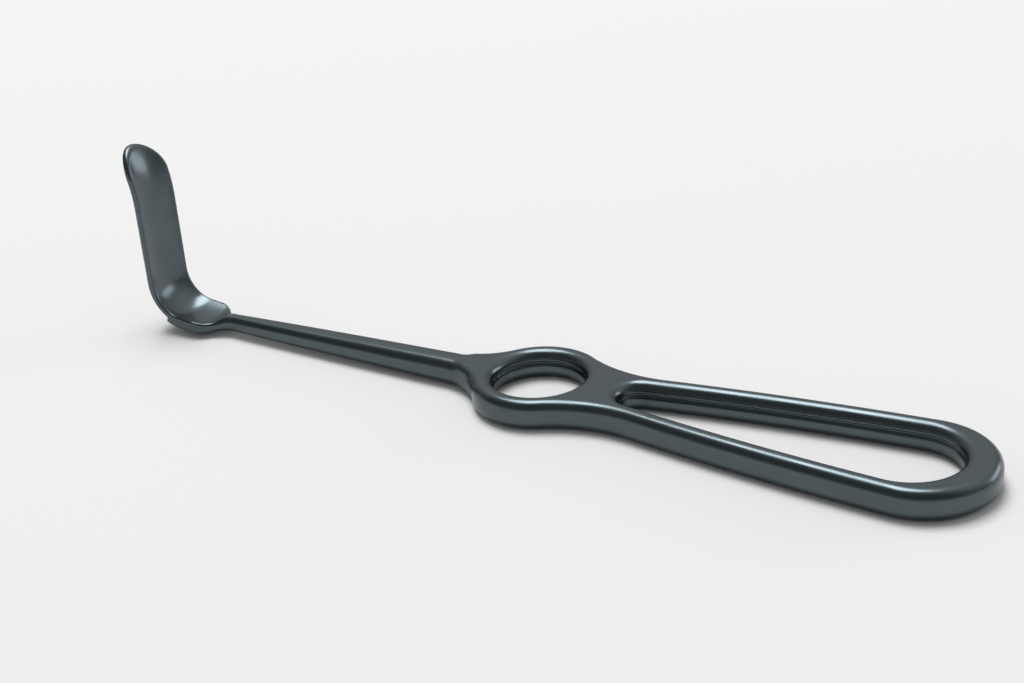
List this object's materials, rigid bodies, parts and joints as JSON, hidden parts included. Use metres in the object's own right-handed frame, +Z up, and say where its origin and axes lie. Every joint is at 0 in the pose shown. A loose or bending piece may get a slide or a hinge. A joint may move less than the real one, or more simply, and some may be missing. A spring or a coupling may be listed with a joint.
{
  "type": "surgical retractor",
  "caption": "Hand-held surgical retractor in one piece: a long open loop grip, a finger ring, a tapered shaft and an upright trough-shaped blade with a rounded lip.",
  "frame": {"origin": "centre of the finger ring's hole, halfway through the plate's thickness", "axes": "+Z up along the hole's axis and the way the blade stands, +X from the ring to the loop's round end, the part symmetric about the XZ plane"},
  "size_m": [0.2201, 0.0324, 0.0469],
  "materials": {
    "steel": "satin"
  },
  "bodies": {
    "root": {"retractor": "steel"}
  },
  "joints": []
}
